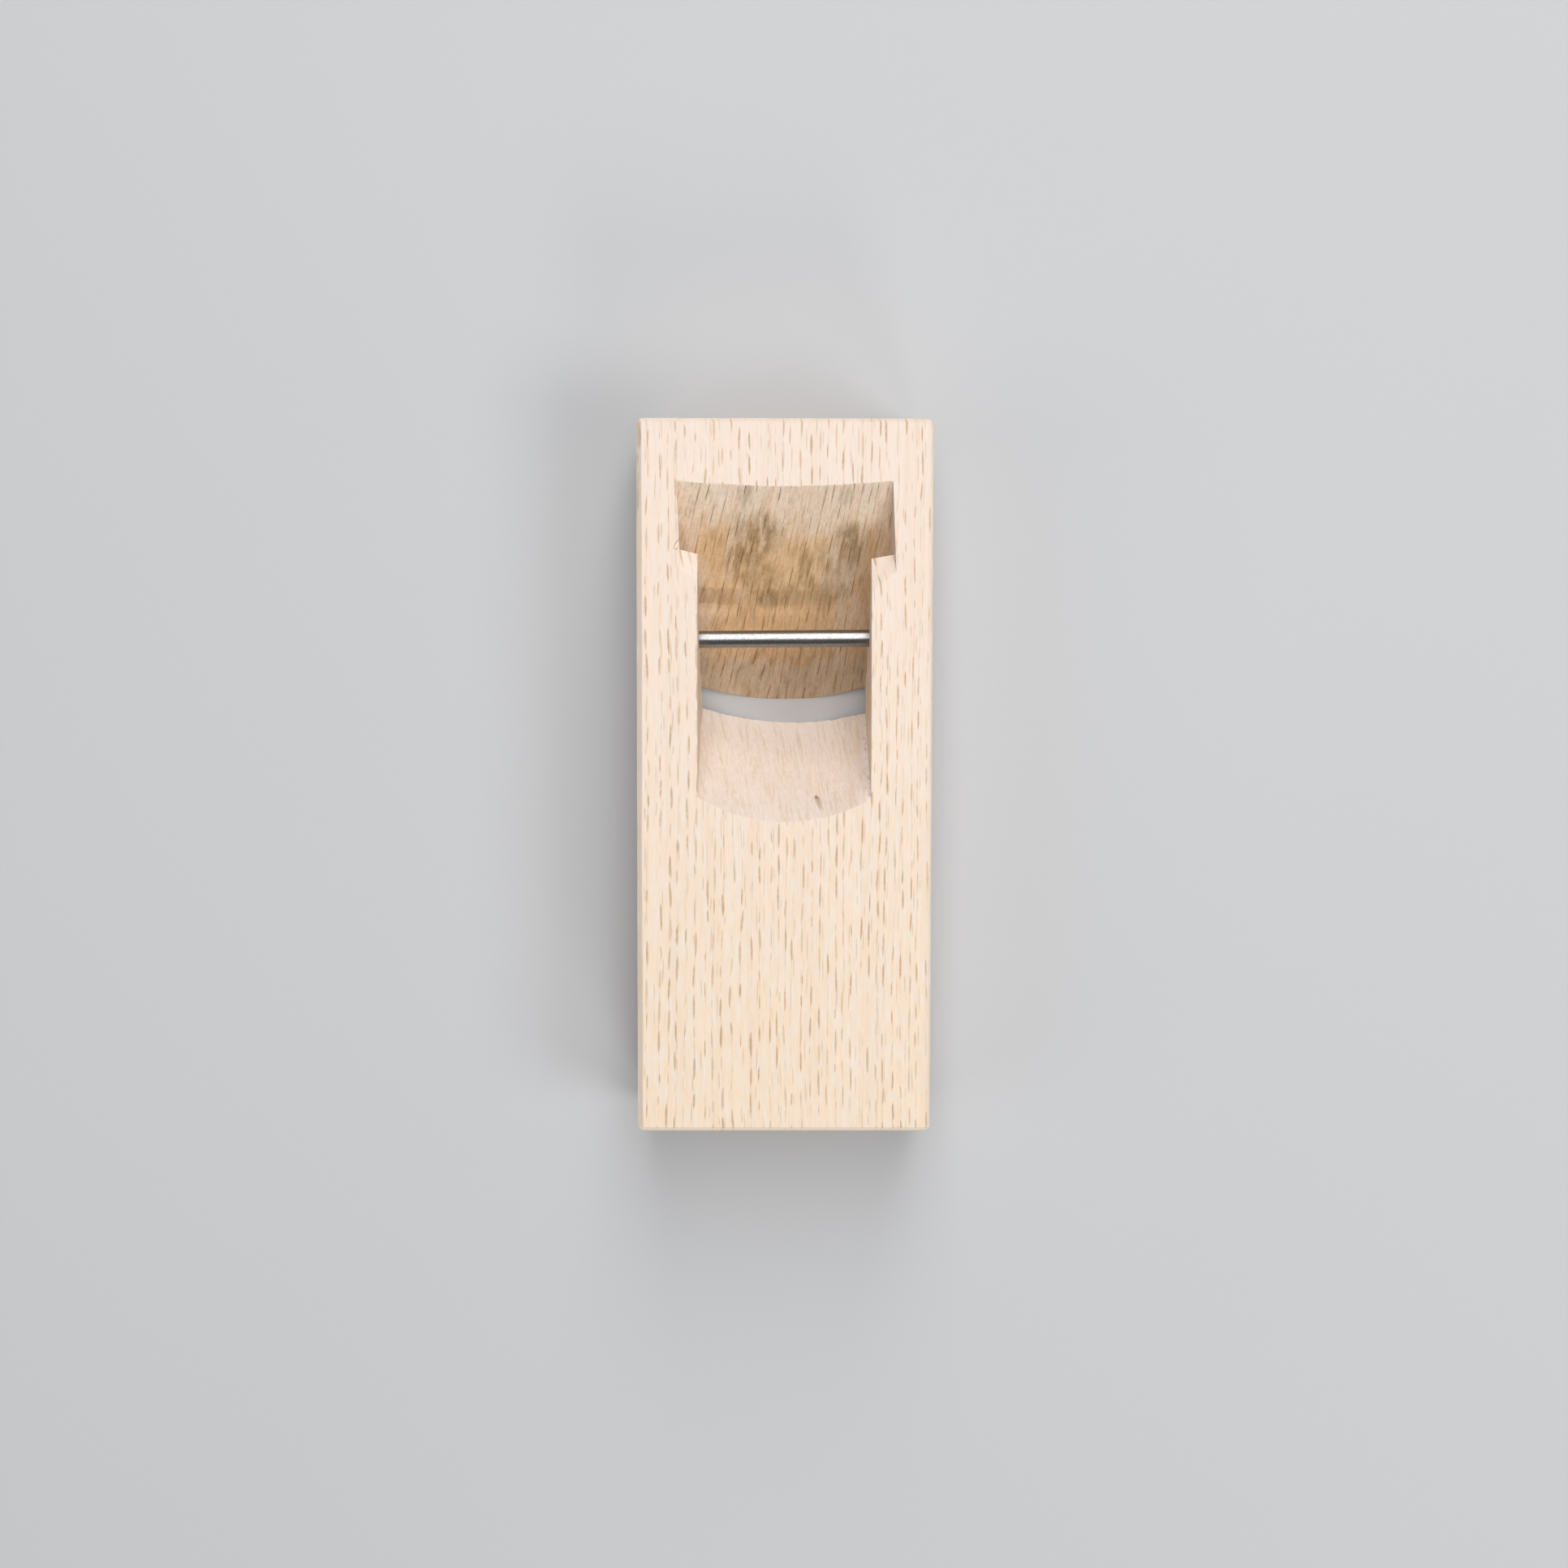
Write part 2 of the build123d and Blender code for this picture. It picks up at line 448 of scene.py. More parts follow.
def planedWood():
    look = planedFinish
    material, shader, spot, xyz = newWood("planed_wood")
    x, y, z = xyz
    onSide = remap(absolute(x), 28.9, 29.45)
    onEnd = remap(absolute(y), 71.0, 71.45)

    def byFace(plain, side, end):
        value = calc("MULTIPLY_ADD", onSide, side - plain, plain)
        return ramp(onEnd, 0.0, 1.0, value, end)

    wood = timberAt(spot, {key: byFace(*look[key]) for key in timberInputs})

    # the edges go a little grey, in patches
    nearSide = remap(absolute(x), 28.2, 29.2)
    nearTop = remap(z, 31.2, 32.2)
    nearEnd = remap(y, 70.2, 71.2)
    edge = largest(times(nearSide, nearTop), times(nearEnd, nearTop), times(nearSide, nearEnd))
    greyPatches = streaks(xyz, (0.5, 0.16, 0.5), 3.0, 0.6)
    edge = times(edge, remap(greyPatches, 0.3, 0.65, *look["greyShare"]))
    colour = blend(edge, wood["Colour"], look["greyEdge"])
    # the chamfer at the tail is painted paler: painted light on a face that the lamps leave dim
    tailPaintedLight = times(remap(y, -70.55, -70.8), remap(onEnd, 1.0, 0.5), look["tailLightShare"])
    colour = blend(tailPaintedLight, colour, look["tailPaintedLight"])
    # end grain drinks more and looks darker, and is full of fine pores
    colour = blend(times(onEnd, look["endShare"]), colour, look["endGrain"])
    pores = streaks((wood["Across"], y, z), (2.6, 0.2, 1.3), 4.0, 0.75)
    pores = times(onEnd, remap(pores, 0.48, 0.32))
    colour = blend(times(pores, look["poreShare"]), colour, look["endPore"])

    rough = ramp(wood["Fibre"], 0.3, 0.7, 0.50, 0.62)
    rough = minus(rough, times(wood["Ray"], 0.10))
    scallop = streaks(xyz, (0.10, 0.03, 0.10), 1.0)
    height = layered(wood["Fibre"], (wood["Ray"], -0.25), (scallop, 0.8), (pores, -0.8))
    surface(shader, colour, rough, height, look["relief"])
    return material


bedFinish = {
    "rayDepth": 0.85, "raySwell": 0.5, "rayFray": 0.05, "ringDepth": 0.12, "streak": 0.8, "rayLean": 0.84,
    "aged": (0.98, 0.91, 0.79),
    "darkGrain": (0.88, 0.85, 0.79), "paleGrain": (1.13, 1.15, 1.16),
    "leftPaintedLight": 1.05, "rightPaintedShade": 0.98,
    "oil": (0.91, 0.785, 0.60), "oilShare": 0.95,
    "pinShadowTone": (0.77, 0.745, 0.72),
    "pinShadowStrip": (-22.0, 9.0, 14.8, 17.2),  # from x, to x, from z, to z: where the pin's painted shadow lies
    "foot": (0.60, 0.605, 0.605), "footShare": 0.9,
    "oiledRay": (0.19, 0.095, 0.03), "oiledShare": 0.82,
    "pore": (0.66, 0.59, 0.50), "poreGlint": (0.86, 0.80, 0.72),
    "relief": (0.38, 0.07),
    "smear": (0.38, 0.345, 0.25), "smearShare": 1.1,
    "smears": [  # x, z, half width, half height, depth: where the iron and oil have marked the wood
        (-4.3, 25.6, 2.9, 2.2, 0.8), (-7.8, 26.0, 2.6, 2.0, 0.55), (-7.4, 22.4, 2.6, 1.7, 0.75),
        (-9.4, 20.4, 2.2, 1.6, 0.6), (-5.2, 19.2, 3.0, 1.8, 0.6), (-3.1, 16.0, 1.7, 1.2, 0.8),
        (1.0, 16.6, 2.0, 1.3, 0.5), (4.6, 21.2, 1.3, 1.6, 0.65), (4.6, 18.9, 1.1, 1.1, 0.8),
        (13.4, 24.6, 2.4, 1.7, 0.8), (11.0, 21.6, 3.2, 2.2, 0.5), (9.0, 17.0, 3.6, 1.4, 0.4),
        (-7.9, 31.4, 1.1, 1.5, 0.55), (12.2, 30.8, 1.1, 0.9, 0.4),
    ],
}


def bedWood():
    look = bedFinish
    material, shader, spot, xyz = newWood("bed_wood")
    x, y, z = xyz
    wood = timberAt(eased(spot, look["rayLean"]), look)
    onGrain = (wood["Across"], y, z)
    colour = blend(remap(z, 31.0, 24.0, 0.5, 1.0), wood["Colour"], look["aged"], "MULTIPLY")
    grain = streaks(onGrain, (1.3, 0.28, 0.22), 5.0, 0.75)
    tint = blend(ramp(grain, 0.25, 0.75), look["darkGrain"], look["paleGrain"])
    colour = blend(1.0, colour, tint, "MULTIPLY")
    # painted light near the left wall and painted shade towards the right, where the right wall's shadow
    # falls
    colour = blend(1.0, colour, remap(x, -18.0, 16.0, look["leftPaintedLight"], look["rightPaintedShade"]), "MULTIPLY")

    # old oil: golden from the middle of the bed down to the pin, thin towards the top and the right
    broad = streaks(xyz, (0.13, 0.05, 0.05), 3.0, 0.6)
    blot = streaks(onGrain, (0.9, 0.16, 0.1), 4.0, 0.65)
    fray = swing(blot, 0.3, 0.7, 0.25)
    middle = times(remap(z, 31.0, 22.0), remap(z, 4.0, 8.5), remap(x, 17.0, 1.0, 0.55, 1.0),
                   remap(x, -21.0, -11.0, 0.45, 1.0))
    oil = remap(plus(middle, swing(broad, 0.25, 0.75, 0.75), fray), 0.1, 1.05)
    colour = blend(times(oil, look["oilShare"]), colour, look["oil"], "MULTIPLY")

    # dark smears, broken up along the grain
    marks = []
    for sx, sz, wide, high, depth in look["smears"]:
        dx = calc("POWER", divided(minus(x, sx), wide), 2.0)
        dz = calc("POWER", divided(minus(z, sz), high), 2.0)
        marks.append(remap(plus(dx, dz), 3.6, 0.0, 0.0, depth))
    smear = times(largest(*marks), remap(blot, 0.34, 0.56, 0.3, 1.0), remap(grain, 0.64, 0.40, 0.55, 1.0))
    mottled = remap(calc("MULTIPLY_ADD", middle, 0.05, blot), 0.54, 0.74, 0.0, 0.35)
    smear = calc("MULTIPLY", largest(smear, mottled), look["smearShare"], clamp=True)
    colour = blend(smear, colour, look["smear"], "MULTIPLY")

    # a painted shadow of the pin in a strip, strongest at the left, and the greyer foot of the bed
    begin, end, under, over = look["pinShadowStrip"]
    frayed = plus(z, fray)
    pinShadowStrip = times(remap(frayed, under - 0.2, under + 0.2), remap(frayed, over + 0.2, over - 0.2),
                  remap(x, end, end - 8.0), remap(x, begin, begin + 1.0))
    pinShadowStrip = times(pinShadowStrip, remap(x, -16.0, -6.0, 0.75, 0.35))
    colour = blend(pinShadowStrip, colour, look["pinShadowTone"], "MULTIPLY")
    low = times(remap(z, 10.0, 3.8), remap(blot, 0.3, 0.6, 0.7, 1.0), look["footShare"])
    colour = blend(low, colour, look["foot"], "MULTIPLY")

    # oil sinks into the rays, the pores are dark, and small pale specks are painted glints
    colour = blend(times(wood["Ray"], look["oiledShare"]), colour, look["oiledRay"])
    pore = streaks(onGrain, (2.4, 1.1, 0.9), 3.0, 0.65)
    colour = blend(remap(pore, 0.55, 0.30, 0.0, 0.36), colour, look["pore"], "MULTIPLY")
    glintSpecks = streaks(xyz, (4.4, 4.4, 4.4), 1.0)
    colour = blend(remap(glintSpecks, 0.68, 0.78, 0.0, 0.6), colour, look["poreGlint"])

    stroke = streaks(xyz, (0.9, 0.10, 0.05), 2.0)
    height = layered(wood["Fibre"], (stroke, 0.7), (wood["Ray"], -0.5), (pore, 0.6))
    surface(shader, colour, ramp(oil, 0, 1, 0.60, 0.46), height, look["relief"])
    return material


gulletFinish = {
    "rayDepth": 0.22, "raySwell": 1.5, "rayFray": 0.05, "ringDepth": 0.10, "streak": 1.4, "rayLean": 0.32,
    "paleAndPaintedLight": (0.87, 0.755, 0.68), "mouthPaintedLight": (0.98, 0.875, 0.79),
    "ochre": (0.745, 0.60, 0.44),
    "feltShade": (0.82, 0.77, 0.74), "feltPale": (0.92, 0.86, 0.80), "feltShare": 0.48,
    "knot": (6.5, 25.6), "knotShare": 0.75,
    "knotTail": (0.40, 0.27, 0.14), "knotCore": (0.16, 0.09, 0.05),
    "hairLines": [(-16.6, 4.4, -0.30, 0.35), (-9.8, 4.5, -5.9, -4.2)],  # from x, to x, y at each end
    "hairLine": (0.52, 0.38, 0.27), "hairShare": 0.24,
    "whiteStrokes": [(10.4, 23.2, 2.0), (9.4, 24.3, 1.4), (11.6, 24.8, 1.0)],  # x, height, half length
    "torn": (0.95, 0.89, 0.83), "tornFrom": 15.7, "tornShare": 0.85,
    "pit": (0.36, 0.27, 0.19), "pitFrom": 16.2, "pitShare": 0.5,
    "relief": (0.85, 0.06),
}


def gulletWood():
    look = gulletFinish
    material, shader, spot, xyz = newWood("gullet_wood")
    x, y, z = xyz
    # the slope is cut nearly across the rays, so they show drawn out and soft
    wood = timberAt(eased(spot, look["rayLean"]), look)
    onGrain = (wood["Across"], y, z)
    # a pale tone, paler still towards the mouth: partly the wood's own colour, partly painted light where
    # the foot of the slope lies in shade
    paleAndPaintedLight = blend(remap(z, 15.0, 1.0), look["paleAndPaintedLight"], look["mouthPaintedLight"])
    colour = blend(remap(z, 15.0, 1.0, 0.68, 0.97), wood["Colour"], paleAndPaintedLight)
    streak = streaks(onGrain, (1.5, 0.15, 0.08), 3.0, 0.6)
    veins = times(remap(streak, 0.52, 0.34, 0.0, 0.62), remap(z, 1.0, 8.0, 0.6, 1.0))
    colour = blend(veins, colour, look["ochre"])
    felt = streaks(onGrain, (3.2, 0.7, 0.4), 3.0, 0.65)
    colour = blend(remap(felt, 0.50, 0.30, 0.0, look["feltShare"]), colour, look["feltShade"], "MULTIPLY")
    colour = blend(remap(felt, 0.55, 0.70, 0.0, look["feltShare"]), colour, look["feltPale"])

    # a pin knot with its brown tail
    knotX, knotZ = look["knot"]
    kx = minus(x, knotX)
    kz = minus(z, knotZ)
    jag = streaks(xyz, (1.3, 1.3, 0.6), 2.0, 0.6)
    core = plus(times(kx, kx), times(kz, times(kz, 0.18)), ramp(jag, 0.3, 0.7, -0.06, 0.10))
    core = remap(core, 0.11, 0.0)
    trail = absolute(plus(calc("MULTIPLY_ADD", kz, -0.2, kx), -0.12))
    trail = plus(trail, swing(felt, 0.3, 0.7, 0.15))
    trail = times(remap(trail, 0.75, 0.1), remap(kz, 6.0, 0.8), remap(kz, -0.9, 0.3))
    colour = blend(times(trail, look["knotShare"]), colour, look["knotTail"])
    colour = blend(times(core, look["knotShare"]), colour, look["knotCore"])

    # hair lines scored across the slope
    drift = streaks(xyz, (0.25, 0.0, 0.0), 2.0)
    wander = plus(z, swing(drift, 0, 1, 0.7))
    broken = remap(felt, 0.44, 0.60)
    lines = []
    for begin, end, yBegin, yEnd in look["hairLines"]:
        slope = (yEnd - yBegin) / (end - begin)
        away = minus(calc("MULTIPLY_ADD", x, slope, yBegin - slope * begin), y)
        away = absolute(plus(away, times(minus(wander, z), 0.4)))
        ends = (remap(x, begin - 0.5, begin + 2.0), remap(x, end + 0.5, end - 2.0))
        lines.append(times(remap(away, 0.12, 0.02), *ends))
    score = times(largest(*lines), broken)
    colour = blend(times(score, look["hairShare"]), colour, look["hairLine"])

    # white strokes of a blunt tool, torn fibres and small pits in the right corner
    strokes = []
    for middle, height, half in look["whiteStrokes"]:
        line = remap(absolute(minus(wander, height)), 0.42, 0.05)
        strokes.append(times(line, remap(absolute(minus(x, middle)), half, half * 0.5)))
    fuzz = streaks(xyz, (1.2, 0.9, 0.6), 4.0, 0.7)
    torn = times(remap(x, look["tornFrom"], 17.2), remap(fuzz, 0.40, 0.53), remap(y, 12.0, 8.0))
    pit = times(remap(x, look["pitFrom"], 17.0), remap(fuzz, 0.42, 0.34), remap(y, 12.0, 8.0))
    torn = largest(torn, times(largest(*strokes), times(broken, 0.5)))
    colour = blend(times(torn, look["tornShare"]), colour, look["torn"])
    colour = blend(times(pit, look["pitShare"]), colour, look["pit"])

    rough = ramp(wood["Fibre"], 0.3, 0.7, 0.56, 0.68)
    height = layered(wood["Fibre"], (score, -0.5), (core, -0.8), (felt, 0.8), (torn, 0.8))
    surface(shader, colour, rough, height, look["relief"])
    return material


wallFinish = {
    "rayDepth": 0.5, "raySwell": 1.0, "rayFray": 0.05, "ringDepth": 0.12, "streak": 1.5,
    "grime": (0.55, 0.455, 0.365), "grimeShare": (0.12, 0.5), "relief": (0.6, 0.08),
}


def wallWood():
    look = wallFinish
    material, shader, spot, xyz = newWood("wall_wood")
    x, y, z = xyz
    wood = timberAt(spot, look)
    grime = streaks(xyz, (0.3, 0.16, 0.16), 4.0, 0.6)
    colour = blend(remap(grime, 0.35, 0.75, *look["grimeShare"]), wood["Colour"], look["grime"])
    # saw lines run down the walls beside the bed
    slant = calc("MULTIPLY_ADD", z, -0.8, times(y, 0.6))
    saw = streaks((x, slant, z), (0.3, 2.6, 0.12), 2.0)
    height = layered(wood["Fibre"], (saw, 0.9))
    surface(shader, colour, ramp(grime, 0.3, 0.7, 0.68, 0.56), height, look["relief"])
    return material


steelFinish = {
    "colour": (0.27, 0.268, 0.264), "worn": (0.225, 0.22, 0.21),
    "drawn": (0.19, 0.185, 0.18), "relief": (0.2, 0.015),
}


def drawnSteel():
    look = steelFinish
    material, tree, shader = newMaterial("drawn_steel", {"Metallic": 1.0})
    xyz = axesOf(millimetres(tree))
    drawn = streaks(xyz, (0.16, 9.0, 9.0), 3.0, 0.6)
    mottle = streaks(xyz, (1.6, 2.4, 2.4), 3.0, 0.6)
    colour = blend(remap(mottle, 0.45, 0.75, 0.0, 0.6), look["colour"], look["worn"])
    colour = blend(remap(drawn, 0.55, 0.8, 0.0, 0.5), colour, look["drawn"])
    rough = plus(ramp(mottle, 0.3, 0.7, 0.21, 0.31), ramp(drawn, 0.4, 0.8, 0.0, 0.08))
    surface(shader, colour, rough, layered(drawn, (mottle, 0.5)), look["relief"])
    return material


bodyFinishes = [planedWood(), bedWood(), gulletWood(), wallWood()]
planed, bed, gullet, wall = range(4)
steel = drawnSteel()
print("finishes made:", ", ".join(m.name for m in bodyFinishes + [steel]))


# pin: drawn rod, its ends broken by a file and the driven end a little flattened

pin = {
    "diameter": 3.5, "y": 27.7, "height": 20.5, "left": -26.35, "right": 27.5, "skew": 0.5,
    "clearance": 0.03, "tipGap": 0.3, "drillPoint": 118.0, "boreSteps": 64,
    "endChamfer": 0.4, "endRound": 0.09, "steps": 112, "lengthSteps": 60,
    "dish": 0.05, "dishWave": (0.9, 0.03), "faceDepth": 0.02,  # left by a hammer
}


def lathe(bm, profile, steps):
    # turn (along, radius) points round the X axis; a radius of 0 closes the skin
    turns = [2 * math.pi * i / steps for i in range(steps)]
    rings = []
    for along, radius in profile:
        if radius == 0.0:
            rings.append([bm.verts.new((along, 0.0, 0.0))])
        else:
            spots = [(along, radius * math.cos(a), radius * math.sin(a)) for a in turns]
            rings.append([bm.verts.new(spot) for spot in spots])
    for ringA, ringB in zip(rings, rings[1:]):
        for i in range(steps):
            j = (i + 1) % steps
            corners = [ring[k % len(ring)] for ring, k in ((ringA, i), (ringA, j), (ringB, j), (ringB, i))]
            bm.faces.new(list(dict.fromkeys(corners)))
    faceOutward(bm)


def pinPlace(along):
    turn = Matrix.Rotation(math.radians(pin["skew"]), 4, "Z")
    lift = Matrix.Translation((0.0, pin["y"], pin["height"]))
    return lift @ turn @ Matrix.Translation((along, 0.0, 0.0))


def pinProfile():
    radius = pin["diameter"] / 2
    length = pin["right"] - pin["left"]
    chamfer, soft = pin["endChamfer"], pin["endRound"]
    cut = radius - chamfer
    tip = [
        (0.0, 0.0), (0.0, cut - soft), (soft * 0.3, cut - soft * 0.2), (soft, cut + soft * 0.6),
        (chamfer - soft, radius - soft * 0.8), (chamfer - soft * 0.2, radius - soft * 0.15),
        (chamfer + soft, radius),
    ]
    count = pin["lengthSteps"]
    straight = length - 2 * chamfer - 2 * soft
    rod = [(chamfer + soft + straight * k / count, radius) for k in range(1, count)]
    return tip + rod + [(length - along, r) for along, r in reversed(tip)]


def buildPin():
    bm = bmesh.new()
    lathe(bm, pinProfile(), pin["steps"])
    face = pin["right"] - pin["left"] - pin["faceDepth"]
    for vert in bm.verts:
        if vert.co.x > face:
            spread = math.hypot(vert.co.y, vert.co.z) / pin["diameter"]
            vert.co.x -= pin["dish"] * (1.0 - spread) + abs(wave(vert.co, *pin["dishWave"]))
    bm.transform(pinPlace(pin["left"]))
    obj = newObject("retaining_pin_steel", bm)
    obj.data.materials.append(steel)
    return obj


# body: the planed block, its mortise pared by hand, then soft edges

body = {
    "length": 143.0, "width": 59.0, "height": 32.5, "soleRadius": 108.0,
    "cornerChamfer": 1.1, "leftChamfer": 1.1, "rightChamfer": 0.5, "endChamfer": 0.9,
    "soleEndChamfer": 0.8, "soleSideChamfer": 0.6, "soleSideLift": 0.36,
    "soleSteps": 28, "lengthSteps": 36,
    "mouthToHead": 56.8, "bedSlope": 0.75, "bedRadius": 214.0, "bedSteps": (62, 1, 60),
    "seatWidth": 42.9, "wedgeGap": 4.3, "wedgeAngle": 4.1, "grooveFloor": 3.5, "seatDrift": 0.04,
    "throatWidth": 34.7, "mouthOpening": 5.0, "gulletRun": 18.5, "throatSteps": (116, 14, 66),
    "gulletRadius": (46.0, 33.5), "gulletSkew": (1.8, 0.2),  # at the mouth and at the top
    "leftFacet": ((6.9, 2.7), (5.0, 1.9)), "rightFacet": ((8.8, 3.4), (5.3, 2.7)),
    "facetSteps": 16, "facetMargin": 0.02, "sharpAngle": 40.0,
    "over": 2.0,  # cutters run this far past what they cut
}
handWork = {  # what the tools left uneven: size and depth of each wave
    "leftChamfer": (17.0, 0.13), "rightChamfer": (14.0, 0.08),
    "bed": (7.0, 0.10), "bedStrokes": (5.0, 0.04), "wall": (6.0, 0.09), "gullet": (4.0, 0.10),
    "lipTear": (0.8, 0.13), "lipRun": (2.2, 0.10), "lipHeight": 1.2,
    "closeIn": 0.55, "closeHeight": 9.0, "closeFrom": 15.0, "closeRun": 5.0,
}
halfLength = body["length"] / 2
halfWidth = body["width"] / 2
bedFoot = halfLength - body["mouthToHead"]
halfSeat = body["seatWidth"] / 2
halfThroat = body["throatWidth"] / 2
top = body["height"]
wedgeLean = math.tan(math.radians(body["wedgeAngle"]))
wedgeSlope = (body["bedSlope"] + wedgeLean) / (1 - body["bedSlope"] * wedgeLean)


def wedgeFront(z):
    return bedFoot - body["wedgeGap"] + z / wedgeSlope


def cutHeight(w):
    return between(-body["over"], top + body["over"], w)


def soleHeight(x):
    return arcRise(body["soleRadius"], x)


def blockRing(y, foot):
    # outline of the block at y, its sole raised by foot; the long chamfers were planed by eye
    left = body["leftChamfer"] + wave((0.0, y, 5.0), *handWork["leftChamfer"])
    right = body["rightChamfer"] + wave((3.0, y, 8.0), *handWork["rightChamfer"])
    flat = halfWidth - body["soleSideChamfer"]
    points = []
    for i in range(body["soleSteps"] + 1):
        x = -flat + 2 * flat * i / body["soleSteps"]
        points.append((x, soleHeight(x) + foot))
    low = soleHeight(halfWidth) + foot + body["soleSideLift"]
    points += [(halfWidth, low), (halfWidth, top - right), (halfWidth - right, top)]
    points += [(left - halfWidth, top), (-halfWidth, top - left), (-halfWidth, low)]
    return points


def planeOff(bm, place, normal):
    # take away all that lies beyond a flat cut and close it again
    cut = bmesh.ops.bisect_plane(bm, geom=bm.verts[:] + bm.edges[:] + bm.faces[:], plane_co=place,
                                 plane_no=normal, clear_outer=True, dist=1e-5)
    rim = [e for e in cut["geom_cut"] if isinstance(e, bmesh.types.BMEdge) and e.is_boundary]
    bmesh.ops.edgeloop_fill(bm, edges=rim)


def buildBlock():
    inner = halfLength - body["soleEndChamfer"]
    count = body["lengthSteps"]
    bm = bmesh.new()
    rings = []
    for y in [-halfLength] + [-inner + 2 * inner * k / count for k in range(count + 1)] + [halfLength]:
        foot = body["soleEndChamfer"] if abs(y) == halfLength else 0.0
        rings.append([bm.verts.new((px, y, pz)) for px, pz in blockRing(y, foot)])
    joinRings(bm, rings)
    faceOutward(bm)
    for end in (-1, 1):
        planeOff(bm, (0.0, end * (halfLength - body["endChamfer"]), top), (0.0, end, 1.0))
        corner = end * (halfLength - body["cornerChamfer"])
        for hand in (-1, 1):
            planeOff(bm, (hand * halfWidth, corner, 0.0), (hand, end, 0.0))
    faceOutward(bm)
    # the top and the sides become one face each, so that nothing crosses them
    for axis, value in ((2, top), (0, halfWidth), (0, -halfWidth)):
        flat = [f for f in bm.faces if all(abs(v.co[axis] - value) < 1e-6 for v in f.verts)]
        bmesh.ops.dissolve_faces(bm, faces=flat)
    return newObject("plane_body_wood", bm)


def bedBack(x, z):
    return bedFoot + z / body["bedSlope"] + arcRise(body["bedRadius"], x)


def seatSide(side, y, z):
    # the walls beside the bed were sawn a little askew
    x = side * halfSeat
    return x + body["seatDrift"] * (bedBack(x, z) - y)


def bedPoint(u, v, w):
    x = between(-halfSeat, halfSeat, u)
    z = cutHeight(w)
    uneven = wave((x, z * 0.6, 3.1), *handWork["bed"])
    uneven += wave((x * 2.0, z * 0.5, 7.3), *handWork["bedStrokes"])
    back = bedBack(x, z) + uneven
    y = between(-halfLength, back, v)
    return (x + body["seatDrift"] * (back - y), y, z)


def gulletFront(x, z):
    share = z / top
    radius = between(*body["gulletRadius"], share)
    skew = math.radians(between(*body["gulletSkew"], share))
    lowest = bedFoot - body["mouthOpening"] - share * body["gulletRun"]
    centreX, centreY = radius * math.sin(skew), lowest + radius * math.cos(skew)
    front = centreY - math.sqrt(radius * radius - (x - centreX) ** 2)
    # paring strokes down the slope, and a torn lip where it meets the sole
    front += wave((x * 1.5, z * 0.3, 9.7), *handWork["gullet"])
    lip = fade(z - soleHeight(x), handWork["lipHeight"])
    front += lip * (wave((x, 4.4, 0.0), *handWork["lipTear"]) + wave((x, 9.1, 0.0), *handWork["lipRun"]))
    return front


def throatPoint(u, v, w):
    x = between(-halfThroat, halfThroat, u)
    z = cutHeight(w)
    y = between(gulletFront(x, z), halfLength + body["over"], v)
    if u in (0.0, 1.0):
        x += wave((u * 9.0, y * 0.8, z), *handWork["wall"])
    if u == 0.0:
        # the left wall closes in a little at the front of the mouth
        forward = max(0.0, min(1.0, (handWork["closeFrom"] - y) / handWork["closeRun"]))
        x += handWork["closeIn"] * fade(z, handWork["closeHeight"]) * forward
    return (x, y, z)


def seatPoint(u, v, w):
    half = halfSeat + body["over"]
    z = between(body["grooveFloor"], top + body["over"], w)
    return (between(-half, half, u), between(wedgeFront(z), halfLength + 2 * body["over"], v), z)


def cutFacet(obj, side, atThroat, atGroove):
    # a twisted cut, ruled from past the throat to the groove's wall
    reach = body["over"] / (halfSeat - halfThroat)
    past = [near + reach * (near - far) for near, far in zip(atThroat, atGroove)]
    start, end, lift = side * (halfThroat - body["over"]), wedgeFront(top), body["over"]
    bm = bmesh.new()
    rings = []
    for i in range(body["facetSteps"] + 1):
        t = i / body["facetSteps"]
        length, drop = (between(a, b, t) for a, b in zip(past, atGroove))
        low = top - drop
        corners = [(end - length * (1 + lift / drop), top + lift), (wedgeFront(low), low),
                   (wedgeFront(low) + lift, low), (end + lift, top + lift)]
        ring = []
        for y, z in corners:
            stop = seatSide(side, y, z) + side * body["facetMargin"]
            ring.append(bm.verts.new((between(start, stop, t), y, z)))
        rings.append(ring)
    joinRings(bm, rings)
    faceOutward(bm)
    combine(obj, newObject("facet", bm), "DIFFERENCE")


def cutBore(obj):
    start = pin["left"] - pin["tipGap"]
    length = halfWidth + body["over"] - pin["left"] + pin["tipGap"]
    radius = pin["diameter"] / 2 + pin["clearance"]
    point = radius / math.tan(math.radians(pin["drillPoint"] / 2))
    bm = bmesh.new()
    lathe(bm, [(-point, 0.0), (0.0, radius), (length, radius), (length, 0.0)], pin["boreSteps"])
    bm.transform(pinPlace(start))
    combine(obj, newObject("bore", bm, wall), "DIFFERENCE")


tear = {
    "count": 34, "length": 0.46, "thickness": 0.10, "seed": 11,
    "from": -16.4, "to": 16.6, "steps": 120, "sunk": 0.16, "height": 0.28, "wave": (0.7, 0.14),
    "lean": ((-1.75, -0.5, -0.6), (-1.35, 0.5, 0.6)), "size": ((0.6, 0.4, 0.2), (1.5, 0.8, 1.0)),
}


